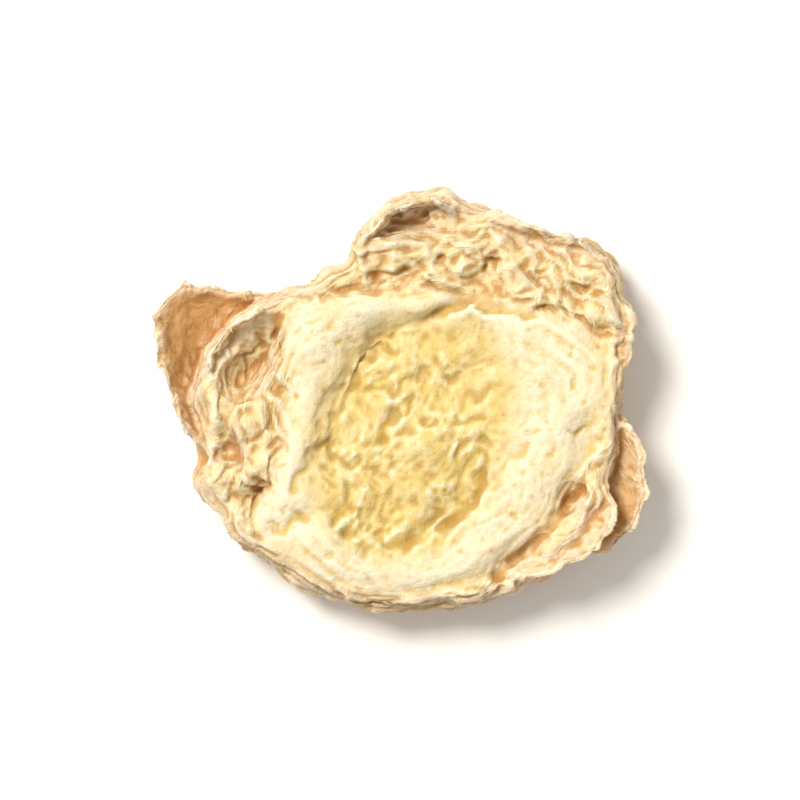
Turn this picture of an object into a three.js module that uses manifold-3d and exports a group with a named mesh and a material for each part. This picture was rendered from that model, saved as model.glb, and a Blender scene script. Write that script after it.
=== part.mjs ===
// One slice of dried ginger root, cut across the rhizome.
//
// From the middle out it has a sunken yellow stele, a pale raised band of cortex and a rim of shrunken
// tissue and corky skin, which has torn into flaps and folds. It is all one solid, in millimetres, lying
// on its lower cut face: +X is the slice's longest way, and +Z points out of its upper cut face.

import * as THREE from "three";
import { mergeVertices } from "three/addons/utils/BufferGeometryUtils.js";
import { ImprovedNoise } from "three/addons/math/ImprovedNoise.js";
import Module from "manifold-3d";

// Heights of the slice above the table
const FACE_HEIGHT = 4.3;
const UNDER_HEIGHT = 0.5;
const CURL_ALONG_X = 0.45;
const CURL_ALONG_Y = -0.3;

// The stele: the middle of the root, which shrinks most as it dries
const STELE_CENTRE = new THREE.Vector2(0.6, -1.6);
const STELE_HALF_WIDTH = 4.5;
const STELE_HALF_LENGTH = 6.0;
const STELE_LEAN = 1.15;
const STELE_UNEVEN = 0.11;
const STELE_SINK = 0.6;
const STELE_WRINKLE = 0.3;
const WRINKLE_LEAN = 0.9;
const FURROW_DEPTH = 0.8;
const FURROW_DIRECTION = 2.15;
const FURROW_BANK = 0.3;

// The cortex: the smooth pale band round the stele
const CORTEX_CROWN = 0.3;
const CORTEX_EDGE = [
  [10.0, 0.7], [9.8, 2.7], [8.5, 3.7], [6.1, 4.3], [3.3, 4.9], [0.2, 5.0], [-3.0, 4.9], [-5.0, 4.6],
  [-5.5, 2.7], [-5.2, 0.7], [-5.4, -1.7], [-6.2, -4.0], [-7.0, -5.6], [-6.2, -6.9], [-4.4, -8.2],
  [-1.8, -9.0], [1.1, -9.2], [3.3, -8.7], [4.9, -7.9], [6.7, -6.4], [8.1, -4.4], [8.8, -3.2], [9.5, -1.3],
];

// The rim: the outline that the slice shows from above, without its loose skin
const RIM_EDGE = [
  [10.7, 1.1], [10.8, 3.5], [10.8, 5.5], [9.7, 6.9], [7.7, 7.8], [5.7, 8.4], [3.8, 9.4], [2.1, 10.2],
  [0.2, 10.1], [-1.4, 8.9], [-2.6, 7.0], [-3.8, 6.1], [-5.2, 5.3], [-7.1, 4.5], [-8.7, 3.0], [-9.6, 1.7],
  [-9.9, 0.2], [-9.4, -2.3], [-9.5, -4.2], [-8.5, -6.1], [-6.8, -7.2], [-4.7, -8.9], [-3.0, -9.6],
  [-0.6, -9.6], [1.7, -9.6], [3.7, -10.1], [4.9, -9.5], [6.6, -8.3], [8.4, -7.0], [9.7, -5.2],
  [10.3, -3.3], [10.5, -1.1],
];
const RIM_LEAST_WIDTH = 0.5;
const RIM_FRILL = 0.32;
const RIM_LIP = 0.45;
const RIM_GROOVE = 0.75;
const RIM_NET = 0.34;
const RIM_BROAD_LUMP = 0.3;
const RIM_ROUNDING = 0.55;
const NARROW_RIM = 0.5;
const WIDE_RIM = 2.2;
const WALL_BULGE = 0.3;
const WALL_WRINKLE = 0.35;

// Hollows that shrinking has left in the upper face: place, half-sizes, turn in degrees, and depth
const HOLLOWS = [
  { at: [-7.2, 1.9], half: [1.8, 0.95], turn: 55, deep: 1.9 },
  { at: [-8.1, -2.4], half: [1.2, 0.8], turn: 110, deep: 1.3 },
  { at: [-7.2, -4.5], half: [1.2, 0.5], turn: 20, deep: 1.0 },
  { at: [-4.7, -5.6], half: [1.2, 0.55], turn: 30, deep: 0.45 },
  { at: [-5.6, -8.1], half: [0.6, 0.35], turn: -40, deep: 0.6 },
  { at: [0.5, 8.8], half: [1.4, 0.65], turn: 5, deep: 1.6 },
  { at: [2.2, 6.7], half: [0.7, 0.4], turn: 10, deep: 0.6 },
  { at: [4.4, 6.8], half: [0.8, 0.6], turn: 0, deep: 1.1 },
  { at: [9.0, 5.2], half: [0.7, 0.6], turn: 0, deep: 1.0 },
  { at: [9.6, 3.3], half: [0.5, 0.8], turn: 0, deep: 0.8 },
  { at: [8.9, -1.7], half: [0.5, 0.9], turn: -10, deep: 0.8 },
  { at: [8.1, -4.6], half: [0.8, 0.5], turn: 35, deep: 0.9 },
  { at: [5.8, -7.4], half: [1.2, 0.4], turn: 35, deep: 0.8 },
  { at: [-1.6, 5.6], half: [1.5, 0.4], turn: 8, deep: 0.8 },
  { at: [2.6, 4.7], half: [1.3, 0.35], turn: 25, deep: 0.6 },
  { at: [6.6, 5.9], half: [1.2, 0.5], turn: -20, deep: 0.6 },
];

// Low spots that the slice rests on, round its weight
const FEET = [[0.4, 6.0], [-5.8, -4.4], [6.6, -4.6]];
const FOOT_WIDTH = 1.9;
const FOOT_DROP = 1.3;

// Loose skin: each sheet runs from a root inside the slice to a free edge, point by point
const SKIN_THICKNESS = 0.62;
const SKIN_SHEETS = {
  leftFlap: {
    root: [[-5.6, 4.4, 1.5], [-7.4, 3.0, 1.2], [-8.5, 1.3, 1.1], [-8.7, -0.8, 1.2], [-8.4, -2.8, 1.6]],
    edge: [[-8.9, 6.2, 3.0], [-11.4, 5.2, 3.9], [-11.75, 2.7, 4.3], [-10.9, -0.2, 4.3], [-9.5, -3.0, 3.6]],
    bulge: -0.7,
    steps: 20,
  },
  leftArch: {
    root: [[-6.2, 4.5, 2.0], [-7.9, 3.5, 1.8], [-9.2, 1.8, 1.8], [-9.5, 0.2, 2.0]],
    edge: [[-5.9, 4.5, 4.8], [-7.4, 3.9, 5.2], [-8.9, 2.4, 5.1], [-9.5, 0.2, 4.5]],
    bulge: -0.35,
    steps: 16,
  },
  topCurl: {
    root: [[-2.5, 6.2, 2.2], [-1.6, 8.2, 2.0], [-0.3, 9.5, 2.0], [1.6, 9.9, 2.0], [3.2, 9.2, 2.4]],
    edge: [[-2.3, 6.2, 4.8], [-1.3, 8.0, 5.3], [-0.1, 9.1, 5.3], [1.5, 9.5, 5.2], [2.8, 8.8, 4.8]],
    bulge: -0.6,
    steps: 20,
  },
  innerFold: {
    root: [[9.4, -3.0, 3.3], [8.6, -4.9, 3.1], [7.0, -6.6, 3.1], [4.8, -8.2, 3.2]],
    edge: [[10.4, -3.9, 4.6], [10.2, -6.2, 4.9], [8.4, -7.8, 4.7], [5.2, -9.1, 4.3]],
    bulge: 0.1,
    steps: 20,
  },
  outerFold: {
    root: [[9.6, -0.2, 2.9], [9.8, -2.6, 2.5], [9.2, -5.0, 1.7], [7.4, -7.2, 1.5]],
    edge: [[10.9, -0.6, 4.1], [11.85, -3.4, 4.4], [11.5, -6.0, 4.0], [9.2, -8.2, 3.2]],
    bulge: -0.4,
    steps: 20,
  },
  topSkin: {
    root: [[2.8, 8.0, 2.4], [6.0, 7.2, 2.2], [8.4, 6.3, 2.2], [9.5, 4.9, 2.4]],
    edge: [[3.0, 9.3, 4.3], [6.2, 8.3, 4.9], [9.0, 7.3, 4.7], [10.6, 5.4, 4.2]],
    bulge: -0.4,
    steps: 20,
  },
  rightSkin: {
    root: [[9.3, 4.6, 2.2], [9.7, 3.0, 2.0], [9.6, 1.0, 2.2]],
    edge: [[10.8, 5.0, 4.1], [11.1, 3.1, 4.7], [10.7, 0.9, 4.3]],
    bulge: -0.4,
    steps: 12,
  },
  bottomSkin: {
    root: [[-5.0, -7.6, 1.3], [-1.4, -8.4, 1.0], [1.8, -8.5, 1.0], [4.8, -7.9, 1.3]],
    edge: [[-5.4, -8.6, 2.9], [-1.6, -9.8, 3.2], [2.0, -9.9, 3.1], [5.6, -9.2, 2.8]],
    bulge: -0.5,
    steps: 24,
  },
};
const SHEET_STEPS_OUT = 4;
const SHEET_TAPER = 0.16;
const EDGE_RAGGED = 0.14;

// How finely the surface is divided
const RINGS_IN_STELE = 9;
const RINGS_IN_CORTEX = 5;
const RINGS_IN_RIM = 8;
const RIM_POINTS = 150;
const WALL_ROWS = 7;
const UNDER_RINGS = 14;

const perlin = new ImprovedNoise();
const TURN = 2 * Math.PI;

// Smooth noise from -1 to 1. Features are about size millimetres across, and layer picks another draw.
function noise(x, y, z, size, layer) {
  return perlin.noise(x / size + 17.3 * layer, y / size + 31.7 * layer, z / size + 5.9 * layer);
}

// Noise with narrow valleys, as in shrunken tissue, from -1 in the valleys to 1.
function creases(x, y, z, size, layer) {
  return 2 * Math.min(1, 2.2 * Math.abs(noise(x, y, z, size, layer))) - 1;
}

// Wrinkles that lean one way over a cut face, as the fibres under them do.
function leaningWrinkles(x, y, layer) {
  const along = x * Math.cos(WRINKLE_LEAN) + y * Math.sin(WRINKLE_LEAN);
  const across = y * Math.cos(WRINKLE_LEAN) - x * Math.sin(WRINKLE_LEAN);
  return noise(along / 2.4, across, 0, 1.3, layer) + 0.6 * noise(x, y, 0, 2.6, layer + 1);
}

// A net of narrow ridges round the rim, with rounded pits between them, from -1 in the pits to 1.
function rimNet(angle, reach, layer) {
  return -creases(5.5 * Math.cos(angle), 5.5 * Math.sin(angle), 1.1 * reach, 1.9, layer);
}

// A bell of height 1 at middle, and nearly 0 past twice its width.
function bell(value, middle, width) {
  return Math.exp(-(((value - middle) / width) ** 2));
}

// The distance from the stele's centre to a closed line of points, as a function of direction.
function reachOf(points) {
  const curve = new THREE.CatmullRomCurve3(
    points.map(([x, y]) => new THREE.Vector3(x, y, 0)),
    true,
    "centripetal",
  );
  const samples = curve
    .getPoints(12 * points.length)
    .slice(0, -1)
    .map((p) => ({
      angle: (Math.atan2(p.y - STELE_CENTRE.y, p.x - STELE_CENTRE.x) + TURN) % TURN,
      reach: Math.hypot(p.x - STELE_CENTRE.x, p.y - STELE_CENTRE.y),
    }))
    .sort((a, b) => a.angle - b.angle);
  const first = samples[0];
  const last = samples[samples.length - 1];
  samples.unshift({ angle: last.angle - TURN, reach: last.reach });
  samples.push({ angle: first.angle + TURN, reach: first.reach });
  return (angle) => {
    const after = samples.findIndex((s) => s.angle > angle);
    const [a, b] = [samples[after - 1], samples[after]];
    return THREE.MathUtils.mapLinear(angle, a.angle, b.angle, a.reach, b.reach);
  };
}

const cortexReach = reachOf(CORTEX_EDGE);
const rimLine = reachOf(RIM_EDGE);

function steleReach(angle) {
  const along = Math.cos(angle - STELE_LEAN) / STELE_HALF_LENGTH;
  const across = Math.sin(angle - STELE_LEAN) / STELE_HALF_WIDTH;
  const uneven = noise(Math.cos(angle), Math.sin(angle), 0, 0.55, 40);
  return (1 + STELE_UNEVEN * uneven) / Math.hypot(along, across);
}

function rimReach(angle) {
  const [x, y] = [Math.cos(angle), Math.sin(angle)];
  const line = rimLine(angle);
  const frill = noise(x * line, y * line, 0, 1.6, 1) + noise(x * line, y * line, 0, 0.8, 2);
  return Math.max(line - WALL_BULGE + RIM_FRILL * frill, cortexReach(angle) + RIM_LEAST_WIDTH);
}

function placeAt(angle, reach) {
  return [STELE_CENTRE.x + reach * Math.cos(angle), STELE_CENTRE.y + reach * Math.sin(angle)];
}

// How deep the hollows go at a place on the upper face.
function hollowDepth(x, y) {
  let depth = 0;
  for (const { at, half, turn, deep } of HOLLOWS) {
    const radians = THREE.MathUtils.degToRad(turn);
    const [dx, dy] = [x - at[0], y - at[1]];
    const along = (dx * Math.cos(radians) + dy * Math.sin(radians)) / half[0];
    const across = (dy * Math.cos(radians) - dx * Math.sin(radians)) / half[1];
    depth = Math.max(depth, deep * Math.exp(-((along * along + across * across) ** 1.5)));
  }
  return depth;
}

// The slice has curled a little as it dried, and both faces follow that.
function curl(x, y) {
  return CURL_ALONG_X * (x / 12) ** 2 + CURL_ALONG_Y * (y / 10) ** 2;
}

// How far a cut face is pushed in from its plane, for each layer that it crosses.
function shrinkage(angle, reach, layer) {
  const [x, y] = placeAt(angle, reach);
  const [stele, cortex, rim] = [steleReach(angle), cortexReach(angle), rimReach(angle)];
  const inStele = reach / stele;
  const inCortex = THREE.MathUtils.clamp((reach - stele) / (cortex - stele), 0, 1);
  const inRim = THREE.MathUtils.clamp((reach - cortex) / (rim - cortex), 0, 1);
  const furrowSide = Math.max(0, Math.cos(angle - FURROW_DIRECTION)) ** 3;
  const sunk = 1 - THREE.MathUtils.smoothstep(inStele, 0.74, 1.04 + FURROW_BANK * furrowSide);
  const wideRim = THREE.MathUtils.smoothstep(rim - cortex, NARROW_RIM, WIDE_RIM);
  const rimPart = THREE.MathUtils.smoothstep(inRim, 0, 0.2) * (0.4 + 0.6 * wideRim);
  const sinkSide = 1 + 0.4 * Math.cos(angle - FURROW_DIRECTION) * Math.min(1, inStele);
  let depth = sunk * (STELE_SINK * sinkSide - 0.2 * (1 - inStele * inStele));
  depth -= STELE_WRINKLE * sunk * leaningWrinkles(x, y, layer);
  depth += FURROW_DEPTH * furrowSide * bell(inStele, 0.9, 0.09) * (1 + noise(x, y, 0, 1.5, layer + 6));
  depth -= CORTEX_CROWN * Math.sin(Math.PI * inCortex) + 0.12 * noise(x, y, 0, 3, layer + 1);
  depth += RIM_GROOVE * wideRim * bell(inRim, 0.14, 0.12) * (0.6 + 0.6 * noise(x, y, 0, 4, layer + 2));
  depth -= RIM_LIP * wideRim * bell(inRim, 0.7, 0.3) * (0.7 + 0.8 * noise(x, y, 0, 2.5, layer + 3));
  depth -= RIM_NET * rimPart * rimNet(angle, reach, layer + 4);
  depth -= RIM_BROAD_LUMP * rimPart * noise(x, y, 0, 2.4, layer + 5);
  depth += RIM_ROUNDING * inRim ** 8;
  return depth;
}

function upperFace(angle, reach) {
  const [x, y] = placeAt(angle, reach);
  const height = FACE_HEIGHT + curl(x, y) - shrinkage(angle, reach, 3) - hollowDepth(x, y);
  return new THREE.Vector3(x, y, height);
}

function lowerFace(angle, reach) {
  const [x, y] = placeAt(angle, reach);
  let height = UNDER_HEIGHT + curl(x, y) + shrinkage(angle, reach, 9);
  for (const [footX, footY] of FEET) {
    height -= FOOT_DROP * bell(Math.hypot(x - footX, y - footY), 0, FOOT_WIDTH);
  }
  return new THREE.Vector3(x, y, Math.max(0, height));
}

// The skin between the two cut faces. Down runs from 0 at the upper face to 1 at the lower one.
function wall(angle, down) {
  const rim = rimReach(angle);
  const top = upperFace(angle, rim);
  const bottom = lowerFace(angle, rim);
  const height = THREE.MathUtils.lerp(top.z, bottom.z, down);
  const bulge = Math.sin(Math.PI * down);
  const fold = creases(top.x, top.y, 2.2 * height, 3.2, 15);
  const [x, y] = placeAt(angle, rim + bulge * (WALL_BULGE + WALL_WRINKLE * fold));
  return new THREE.Vector3(x, y, height);
}

// One closed ring of points, anticlockwise from above.
function ring(count, pointAt) {
  return Array.from({ length: count }, (_, i) => pointAt((TURN * i) / count));
}

// The rings of the slice, from the middle of its upper face, over the rim, to the middle of its lower face.
function sliceRings() {
  const rings = [];
  const layers = [
    { rings: RINGS_IN_STELE, from: () => 0, to: steleReach },
    { rings: RINGS_IN_CORTEX, from: steleReach, to: cortexReach },
    { rings: RINGS_IN_RIM, from: cortexReach, to: rimReach },
  ];
  const faceRings = RINGS_IN_STELE + RINGS_IN_CORTEX + RINGS_IN_RIM;
  for (const layer of layers) {
    for (let i = 1; i <= layer.rings; i++) {
      const count = Math.max(6, Math.round((RIM_POINTS * (rings.length + 1)) / faceRings));
      const reachAt = (angle) => THREE.MathUtils.lerp(layer.from(angle), layer.to(angle), i / layer.rings);
      rings.push(ring(count, (angle) => upperFace(angle, reachAt(angle))));
    }
  }
  for (let row = 1; row < WALL_ROWS; row++) {
    rings.push(ring(RIM_POINTS, (angle) => wall(angle, row / WALL_ROWS)));
  }
  for (let i = UNDER_RINGS; i >= 1; i--) {
    const count = Math.max(6, Math.round((RIM_POINTS * i) / UNDER_RINGS));
    rings.push(ring(count, (angle) => lowerFace(angle, (rimReach(angle) * i) / UNDER_RINGS)));
  }
  return rings;
}

// Triangles between two rings, which may hold different numbers of points.
function stitch(faces, startA, countA, startB, countB) {
  let [a, b] = [0, 0];
  while (a < countA || b < countB) {
    const [pointA, pointB] = [startA + (a % countA), startB + (b % countB)];
    if (b === countB || (a < countA && (a + 1) / countA <= (b + 1) / countB)) {
      faces.push([pointA, pointB, startA + ((a + 1) % countA)]);
      a++;
    } else {
      faces.push([pointA, pointB, startB + ((b + 1) % countB)]);
      b++;
    }
  }
}

function geometryOf(points, faces) {
  const geometry = new THREE.BufferGeometry().setFromPoints(points);
  geometry.setIndex(faces.flat());
  return geometry;
}

function sliceBody() {
  const rings = sliceRings();
  const points = [upperFace(0, 0)];
  const faces = [];
  const starts = [];
  for (const one of rings) {
    starts.push(points.length);
    points.push(...one);
  }
  points.push(lowerFace(0, 0));
  const [first, last] = [rings[0].length, rings[rings.length - 1].length];
  const lastStart = starts[starts.length - 1];
  for (let i = 0; i < first; i++) faces.push([0, starts[0] + i, starts[0] + ((i + 1) % first)]);
  for (let k = 1; k < rings.length; k++) {
    stitch(faces, starts[k - 1], rings[k - 1].length, starts[k], rings[k].length);
  }
  for (let i = 0; i < last; i++) {
    faces.push([points.length - 1, lastStart + ((i + 1) % last), lastStart + i]);
  }
  return geometryOf(points, faces);
}

// A sheet of skin with an even thickness and a ragged free edge.
function skinSheet({ root, edge, bulge, steps }, layer) {
  const [rootLine, edgeLine] = [root, edge].map(
    (points) => new THREE.CatmullRomCurve3(points.map((p) => new THREE.Vector3(...p))),
  );
  const middle = (along, out) => {
    const start = rootLine.getPoint(along);
    const end = edgeLine.getPoint(along);
    const step = steps * along;
    const ragged = EDGE_RAGGED * (noise(step, 0, 0, 3, layer) + noise(step, 0, 0, 1.4, layer));
    const toEnd = Math.min(along, 1 - along) / SHEET_TAPER;
    const taper = 0.45 + 0.55 * THREE.MathUtils.smoothstep(toEnd, 0, 1);
    const point = start.clone().lerp(end, out * taper * (1 + ragged));
    point.z += bulge * Math.sin(Math.PI * out);
    return point;
  };
  const side = (along, out, sign) => {
    const small = 0.01;
    const alongStep = middle(Math.min(1, along + small), out).sub(middle(Math.max(0, along - small), out));
    const outStep = middle(along, out + small).sub(middle(along, out - small));
    const normal = alongStep.cross(outStep).normalize();
    return middle(along, out).addScaledVector(normal, (sign * SKIN_THICKNESS) / 2);
  };
  const points = [];
  const faces = [];
  const width = 2 * (SHEET_STEPS_OUT + 1);
  for (let i = 0; i <= steps; i++) {
    for (let j = 0; j < width; j++) {
      const front = j <= SHEET_STEPS_OUT;
      const out = (front ? j : width - 1 - j) / SHEET_STEPS_OUT;
      points.push(side(i / steps, out, front ? 1 : -1));
    }
  }
  for (let i = 0; i < steps; i++) stitch(faces, i * width, width, (i + 1) * width, width);
  for (let j = 0; j < SHEET_STEPS_OUT; j++) {
    const [near, far] = [j, width - 1 - j];
    const end = steps * width;
    faces.push([near, near + 1, far], [near + 1, far - 1, far]);
    faces.push([end + near, end + far, end + near + 1], [end + near + 1, end + far, end + far - 1]);
  }
  return geometryOf(points, faces);
}

const wasm = await Module();
wasm.setup();

function solidOf(geometry) {
  const merged = mergeVertices(geometry, 1e-4);
  const solid = new wasm.Manifold(
    new wasm.Mesh({
      numProp: 3,
      vertProperties: merged.attributes.position.array,
      triVerts: new Uint32Array(merged.index.array),
    }),
  );
  return solid;
}

// Every piece of skin is fused to the body, because the slice grew as one. A small hollow that fusing seals
// is filled, by keeping only the surface that holds the most.
function gingerSlice() {
  const sheets = Object.values(SKIN_SHEETS).map((sheet, i) => solidOf(skinSheet(sheet, 20 + i)));
  const fused = sheets.reduce((sum, sheet) => sum.add(sheet), solidOf(sliceBody()));
  const whole = fused.decompose().reduce((a, b) => (a.volume() > b.volume() ? a : b));
  const { vertProperties, triVerts } = whole.getMesh();
  const geometry = new THREE.BufferGeometry();
  geometry.setAttribute("position", new THREE.BufferAttribute(vertProperties, 3));
  geometry.setIndex(new THREE.BufferAttribute(triVerts, 1));
  geometry.computeBoundingBox();
  const middle = geometry.boundingBox.getCenter(new THREE.Vector3());
  geometry.translate(-middle.x, -middle.y, -geometry.boundingBox.min.z);
  geometry.computeVertexNormals();
  const driedGinger = new THREE.MeshStandardMaterial({ color: 0xf2dda6, roughness: 0.85, metalness: 0 });
  const slice = new THREE.Mesh(geometry, driedGinger);
  slice.name = "ginger_slice";
  return slice;
}

const group = new THREE.Group();
group.add(gingerSlice());

export default group;
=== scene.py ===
# %% [markdown]
# # A slice of dried ginger root
#
# Ginger is an underground stem. A slice cut across it shows rings of different tissue, and each ring
# shrinks in its own way as it dries. The yellow middle, the stele, sinks and crinkles. The cortex round
# it stays up as a smooth pale band. The corky skin hardly shrinks at all, so it buckles, folds and tears.
#
# The measured solid comes from the CAD model, which has those rings, the hollows and the torn flaps. Here
# we dress it: we remesh it finely, press the wrinkles of each tissue into it, and colour it by tissue.

# %% Load the measured solid
import itertools
import math

import bmesh
import bpy
import numpy as np
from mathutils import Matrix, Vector
from mathutils.bvhtree import BVHTree


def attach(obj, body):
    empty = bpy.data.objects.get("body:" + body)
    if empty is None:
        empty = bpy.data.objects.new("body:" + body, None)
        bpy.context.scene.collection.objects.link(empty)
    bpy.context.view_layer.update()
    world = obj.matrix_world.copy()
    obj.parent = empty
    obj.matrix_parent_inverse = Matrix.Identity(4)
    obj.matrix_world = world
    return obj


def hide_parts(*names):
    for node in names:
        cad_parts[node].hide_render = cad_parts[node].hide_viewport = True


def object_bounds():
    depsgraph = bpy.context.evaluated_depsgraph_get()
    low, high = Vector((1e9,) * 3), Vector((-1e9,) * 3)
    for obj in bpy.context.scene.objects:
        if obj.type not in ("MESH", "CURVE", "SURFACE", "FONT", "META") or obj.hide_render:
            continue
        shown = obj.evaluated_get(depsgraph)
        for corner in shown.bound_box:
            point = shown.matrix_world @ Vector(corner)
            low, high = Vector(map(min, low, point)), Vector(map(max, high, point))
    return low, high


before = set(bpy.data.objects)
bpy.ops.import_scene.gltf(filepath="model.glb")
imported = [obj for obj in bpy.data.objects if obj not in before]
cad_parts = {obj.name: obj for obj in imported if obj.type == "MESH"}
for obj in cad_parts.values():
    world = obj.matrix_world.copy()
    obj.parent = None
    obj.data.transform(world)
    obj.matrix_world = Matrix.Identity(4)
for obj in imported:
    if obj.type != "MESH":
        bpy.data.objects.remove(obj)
cad_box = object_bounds()
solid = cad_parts["ginger_slice"]
MM = 0.001
length, width, height = (cad_box[1] - cad_box[0]) / MM
print(f"the solid is {length:.1f} x {width:.1f} x {height:.1f} mm")

# %% [markdown]
# ## A fine skin over the coarse solid
#
# The solid's triangles are about half a millimetre wide, so it looks chipped, like cut stone. We could
# sculpt over it by hand, but a script has to give the same slice every time. So we round its facets with
# one subdivision, and then remesh it with voxels. Voxels give even little quads everywhere, also inside
# the folds, which is just what wrinkles need: each quad can be moved without its neighbours stretching.

# %% Remesh the solid finely
VOXEL = 0.125 * MM
WELD = 0.0005 * MM


def fine_copy(source, name):
    """A new object with the form of source, in even quads one voxel wide."""
    work = bmesh.new()
    work.from_mesh(source.data)
    bmesh.ops.remove_doubles(work, verts=work.verts, dist=WELD)
    mesh = bpy.data.meshes.new(name)
    work.to_mesh(mesh)
    work.free()
    rough = bpy.data.objects.new(name + "_rough", mesh)
    bpy.context.scene.collection.objects.link(rough)
    rough.modifiers.new("round the facets", "SUBSURF").levels = 1
    remesh = rough.modifiers.new("even quads", "REMESH")
    remesh.mode = "VOXEL"
    remesh.voxel_size = VOXEL
    fine = bpy.data.meshes.new_from_object(rough.evaluated_get(bpy.context.evaluated_depsgraph_get()))
    bpy.data.objects.remove(rough)
    piece = bpy.data.objects.new(name, fine)
    bpy.context.scene.collection.objects.link(piece)
    return piece


ginger = fine_copy(solid, "dried_ginger_slice")
ginger.data.materials.clear()
print(f"the fine skin has {len(ginger.data.polygons)} quads")

# %% [markdown]
# ## Working on all points at once
#
# Ninety thousand points are slow to move one at a time in Python. NumPy holds them as one array in
# millimetres, and every step below is a sum over that array. Two helpers read the mesh and write it back,
# and a third smooths any value over the surface by averaging each point with its neighbours. The last
# one compares the points with the smoothed surface, which tells the ridges from the hollows.

# %% Read, write and smooth the points
edge_ends = np.empty(2 * len(ginger.data.edges), np.int64)
ginger.data.edges.foreach_get("vertices", edge_ends)
edge_ends = edge_ends.reshape(-1, 2)
point_count = len(ginger.data.vertices)
neighbour_count = np.bincount(edge_ends.ravel(), minlength=point_count)


def read_points():
    """Every point of the slice in millimetres, and the direction that its surface faces."""
    places = np.empty(3 * point_count)
    normals = np.empty(3 * point_count)
    ginger.data.vertices.foreach_get("co", places)
    ginger.data.vertex_normals.foreach_get("vector", normals)
    return places.reshape(-1, 3) / MM, normals.reshape(-1, 3)


def write_points(places):
    """Put every point of the slice at its place, given in millimetres."""
    ginger.data.vertices.foreach_set("co", (places * MM).ravel())
    ginger.data.update()


def smoothed(values, times, share=0.5):
    """Values at the points, each one averaged with its neighbours, several times over."""
    columns = np.atleast_2d(values.T).T.astype(float)
    for _ in range(times):
        for column in columns.T:
            total = np.bincount(edge_ends[:, 0], column[edge_ends[:, 1]], point_count)
            total += np.bincount(edge_ends[:, 1], column[edge_ends[:, 0]], point_count)
            column += share * (total / neighbour_count - column)
    return columns.reshape(values.shape)


def height_over(times):
    """How far each point stands out of the surface smoothed so many times, in millimetres."""
    return ((points - smoothed(points, times)) * facing).sum(axis=1)


FACET_SMOOTHING = 7
points, facing = read_points()
write_points(smoothed(points, FACET_SMOOTHING))
points, facing = read_points()
print(f"smoothed {point_count} points")

# %% [markdown]
# ## Noise to wrinkle it with
#
# Gradient noise gives rounded lumps. Its absolute value has sharp valleys where the noise crosses zero:
# those are the creases of shrunken tissue. Upside down they are thin ridges round hollow cells, as in
# tissue that has torn. The random draws come from numbered seeds, so the slice comes out the same each time.

# %% Make noise at the points
SLOPES = 256
LAST_SLOPE = SLOPES - 1
FARTHEST_START = 99
NOISE_GAIN = 1.7


def noise(places, size, seed):
    """Smooth noise, mostly from -1 to 1, with lumps about size millimetres wide."""
    random = np.random.default_rng(seed)
    order = random.permutation(SLOPES)
    slopes = random.normal(size=(SLOPES, 3))
    slopes /= np.linalg.norm(slopes, axis=1)[:, None]
    scaled = places / size + random.uniform(0, FARTHEST_START, 3)
    cell = np.floor(scaled).astype(int)
    inside = scaled - cell
    fade = inside**3 * (inside * (inside * 6 - 15) + 10)
    total = np.zeros(len(places))
    for corner in itertools.product((0, 1), repeat=3):
        x, y, z = (cell + corner).T
        key = order[(order[(order[x & LAST_SLOPE] + y) & LAST_SLOPE] + z) & LAST_SLOPE]
        weight = np.where(corner, fade, 1 - fade).prod(axis=1)
        total += weight * (slopes[key] * (inside - corner)).sum(axis=1)
    return NOISE_GAIN * total


def layered(places, size, seed, octaves=3):
    """Noise with finer noise on it, each octave half as wide and half as high as the one before."""
    return sum(0.5**i * noise(places, size * 0.5**i, seed + 7 * i) for i in range(octaves))


def creases(places, size, seed, sharpness=2.6):
    """Lumps at 1 with narrow creases between them that go down to -1."""
    return 2 * np.minimum(1, sharpness * np.abs(noise(places, size, seed))) - 1


def warped(places, size, amount, seed):
    """The places pushed about by noise, which takes the straightness out of a pattern."""
    push = [noise(places, size, seed + axis) for axis in range(3)]
    return places + amount * np.stack(push, axis=1)


bent = warped(points, size=3.0, amount=0.9, seed=11)
sample = noise(points, size=1, seed=1)
print(f"noise runs from {sample.min():.2f} to {sample.max():.2f}")

# %% [markdown]
# ## Which tissue a point belongs to
#
# The layers of the slice lie round the middle of its stele, so a point's tissue follows from its
# direction and its distance from there. The stele's edge is a leaning ellipse. The cortex's edge is drawn
# point by point, as in the solid. Soft steps between the tissues keep their borders natural.

# %% Where the tissues lie, in millimetres
# The drawing's zero lies a little off the middle of the solid's box.
DRAWING_ZERO = np.array([0.005, -0.030])
STELE_CENTRE = np.array([0.6, -1.6]) + DRAWING_ZERO
STELE_HALF_WIDTH = 4.5
STELE_HALF_LENGTH = 6.0
STELE_LEAN = 1.15
CORTEX_EDGE = DRAWING_ZERO + np.array([
    (10.0, 0.7), (9.8, 2.7), (8.5, 3.7), (6.1, 4.3), (3.3, 4.9), (0.2, 5.0), (-3.0, 4.9), (-5.0, 4.6),
    (-5.5, 2.7), (-5.2, 0.7), (-5.4, -1.7), (-6.2, -4.0), (-7.0, -5.6), (-6.2, -6.9), (-4.4, -8.2),
    (-1.8, -9.0), (1.1, -9.2), (3.3, -8.7), (4.9, -7.9), (6.7, -6.4), (8.1, -4.4), (8.8, -3.2), (9.5, -1.3),
])
print(f"the cortex's edge is drawn with {len(CORTEX_EDGE)} points")


# %% Helpers for soft borders and directions
def soft_step(value, start, end):
    """0 before start, 1 after end, and smooth between them."""
    part = np.clip((value - start) / (end - start), 0, 1)
    return part * part * (3 - 2 * part)


def bell(value, middle, half_width):
    """1 where value is at middle, falling to nearly 0 at twice half_width from it."""
    return np.exp(-(((value - middle) / half_width) ** 2))


def polar(places):
    """Direction and distance of places from the middle of the stele, seen from above."""
    offset = places[:, :2] - STELE_CENTRE
    return np.arctan2(offset[:, 1], offset[:, 0]), np.hypot(offset[:, 0], offset[:, 1])


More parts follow.
